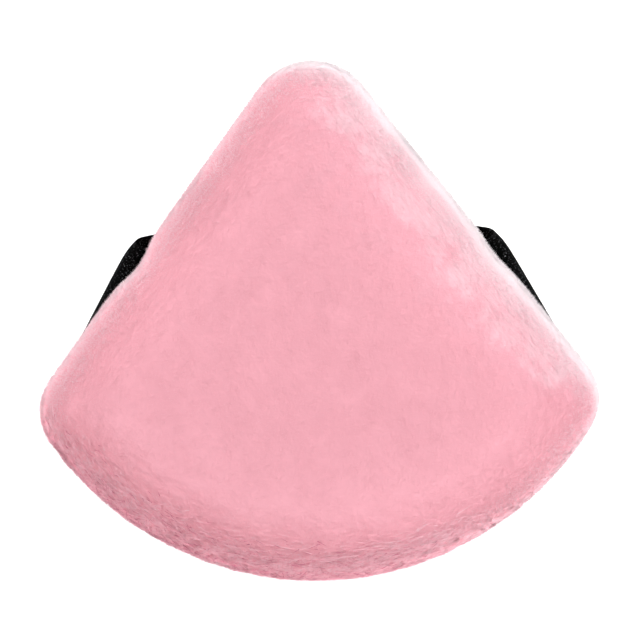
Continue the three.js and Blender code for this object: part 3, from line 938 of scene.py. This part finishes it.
def satin(name, colour, painted_glint):
    """Satin weave on the ribbon's own map: a fine grain of painted glints, pale specks in its colour, rough
    where it is dark.
    """
    material, nodes, shader = new_material(name, colour, 0.5)
    shader.inputs["Specular IOR Level"].default_value = SATIN_SPECULAR
    place = add_node(nodes, "ShaderNodeUVMap", uv_map="Weave").outputs["UV"]
    grain = noise_on(nodes, stretched(nodes, place, GRAIN_SCALES), scale=1, detail=2, roughness=0.7)
    nodes.links.new(two_colours(nodes, grain, PAINTED_GLINT_RANGE, (colour, painted_glint)), shader.inputs["Base Color"])
    nodes.links.new(remap(nodes, grain, GLOSS_RANGE, GLOSS_ROUGHNESSES), shader.inputs["Roughness"])
    add_bump(nodes, shader, grain, strength=1, depth=0.12)
    return material


def open_cells(name, wall, painted_hollow_shade):
    """Foam: small open cells, with painted shade in their hollows."""
    material, nodes, shader = new_material(name, wall, 0.9)
    place = add_node(nodes, "ShaderNodeTexCoord").outputs["Object"]
    cells = add_node(nodes, "ShaderNodeTexVoronoi", scale=1700)
    nodes.links.new(place, cells.inputs["Vector"])
    distance = cells.outputs["Distance"]
    nodes.links.new(two_colours(nodes, distance, (0.15, 0.55), (painted_hollow_shade, wall)), shader.inputs["Base Color"])
    add_bump(nodes, shader, distance, strength=0.8, depth=0.2)
    return material


def twisted(name, ply, groove):
    """Sewing thread: slanting plies with painted shade in the grooves between them."""
    material, nodes, shader = new_material(name, ply, 0.55, 0.2, 0.4)
    place = add_node(nodes, "ShaderNodeTexCoord").outputs["Object"]
    plies = add_node(nodes, "ShaderNodeTexWave", bands_direction="DIAGONAL", scale=900, distortion=1.5)
    nodes.links.new(place, plies.inputs["Vector"])
    turn = plies.outputs["Fac"]
    nodes.links.new(two_colours(nodes, turn, (0.1, 0.6), (groove, ply)), shader.inputs["Base Color"])
    add_bump(nodes, shader, turn, strength=0.7, depth=0.04)
    return material


def glowing_floor(name):
    """The floor's white, which glows for the camera alone, so that it lights nothing."""
    material, nodes, shader = new_material(name, (0.9, 0.9, 0.9), 0.8)
    shader.inputs["Emission Color"].default_value = (1, 1, 1, 1)
    seen = add_node(nodes, "ShaderNodeLightPath").outputs["Is Camera Ray"]
    glow = add_node(nodes, "ShaderNodeMath", operation="MULTIPLY")
    nodes.links.new(seen, glow.inputs[0])
    glow.inputs[1].default_value = FLOOR_GLOW
    nodes.links.new(glow.outputs[0], shader.inputs["Emission Strength"])
    return material


# The pile's colours by how far a fibre faces the upper right: painted shade towards the lower left and a
# painted pale sheen towards the upper right
pile_material = pile("pink_pile", (
    (-0.8, (246, 170, 184)), (-0.35, (251, 187, 198)), (0.05, (245, 184, 195)), (0.25, (242, 193, 202)),
    (0.45, (245, 215, 220)), (1, (220, 206, 210))))
# The rim's fibres are paler than the face's: a painted sheen where the cover bends round the rim
rim_material = pile("painted_sheen_pile", (
    (-0.8, (238, 172, 185)), (-0.3, (247, 196, 206)), (0.05, (246, 207, 215)), (0.7, (236, 222, 225)),
    (1, (222, 211, 214))))
# The ruffled strands turn dark rose where they face the lower left: painted shade, with a random tone
strand_material = pile("ruffled_pile", (
    (-1.2, (180, 78, 108)), (-0.85, (212, 114, 138)), (-0.55, (240, 158, 174)), (-0.1, (249, 190, 201)),
    (0.4, (250, 205, 213))))
# The velour's colours by how far it faces the upper right: painted shade towards the lower left, a painted
# pale sheen towards the upper right
ground_material = velour("pink_velour", (
    (-0.9, (228, 137, 156)), (-0.45, (252, 180, 192)), (-0.2, (249, 176, 189)), (0.05, (242, 169, 182)),
    (0.2, (239, 169, 182)), (0.4, (243, 197, 206)), (0.6, (244, 219, 224)), (1, (228, 213, 216))))
# The pale grey of the satin's grain is painted glints
satin_material = satin("black_satin", linear(1, 1, 1), linear(152, 152, 156))
# The foam's darker colour is painted shade in its cells' hollows
foam_material = open_cells("open_cell_foam", linear(248, 240, 232), linear(222, 206, 192))
# The thread's darker colour is painted shade in the grooves between its plies
thread_material = twisted("pink_sewing_thread", linear(236, 152, 171), linear(205, 112, 136))

# Pieces
FACE_LAYER = {"pile": (face_density, pile_material, FACE_LAYER_SEED)}
RIM_LAYER = {"rim_pile": (rim_density, rim_material, RIM_LAYER_SEED)}
covers = [
    velour_cover("front", FRONT, FACE_LAYER | RIM_LAYER, STRANDS, FRONT_SEED),
    velour_cover("back", BACK, FACE_LAYER, STRANDS // 2, BACK_SEED),
]

foam = foam_filling("foam_filling")
foam.data.materials.append(foam_material)
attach(foam, "pad")
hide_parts("foam_core")

ribbon = satin_ribbon("satin_finger_strap")
ribbon.data.materials.append(satin_material)
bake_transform(ribbon)
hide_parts("finger_strap")

for name in ("seam_needle_thread", "seam_bobbin_thread", "closing_stitches", "strap_tack_right",
             "strap_tack_left"):
    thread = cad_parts[name]
    thread.data.materials.clear()
    thread.data.materials.append(thread_material)

# Studio: a white floor, a soft key from the upper right and the photograph's view from straight above
bpy.ops.mesh.primitive_plane_add(size=FLOOR_SIZE, location=(0, 0, 0))
floor = bpy.context.active_object
floor.name = "floor"
floor.data.materials.append(glowing_floor("white_floor"))


def softbox(name, azimuth, elevation, watts):
    """A square softbox that shines on the puff from a direction, given in degrees."""
    turn, climb = math.radians(azimuth), math.radians(elevation)
    way = Vector((math.cos(turn) * math.cos(climb), math.sin(turn) * math.cos(climb), math.sin(climb)))
    light = bpy.data.lights.new(name, "AREA")
    light.energy = watts
    light.size = SOFTBOX_SIZE
    lamp = bpy.data.objects.new(name, light)
    lamp.location = SOFTBOX_DISTANCE * way
    lamp.rotation_euler = way.to_track_quat("Z", "Y").to_euler()
    bpy.context.scene.collection.objects.link(lamp)


for name, (azimuth, elevation, watts) in SOFTBOXES.items():
    softbox(name, azimuth, elevation, watts)

world = bpy.data.worlds.new("studio")
bpy.context.scene.world = world
world.use_nodes = True
world.node_tree.nodes["Background"].inputs["Color"].default_value = (1, 1, 1, 1)
world.node_tree.nodes["Background"].inputs["Strength"].default_value = WORLD_GLOW

camera_data = bpy.data.cameras.new("camera")
camera_data.lens = LENS
camera_data.sensor_width = SENSOR_WIDTH
camera_data.clip_end = FARTHEST_SEEN
camera = bpy.data.objects.new("camera", camera_data)
distance = PICTURE_WIDTH * LENS / (SENSOR_WIDTH * PIXELS_PER_MM)
rim_level = SEAM_HEIGHT + FRONT["rim_height"]
camera.location = (VIEW_CENTRE[0] * MM, VIEW_CENTRE[1] * MM, (rim_level + distance) * MM)
camera.rotation_euler = (0, 0, VIEW_TURN)
bpy.context.scene.collection.objects.link(camera)
bpy.context.scene.camera = camera
bpy.context.scene.view_settings.view_transform = "Standard"
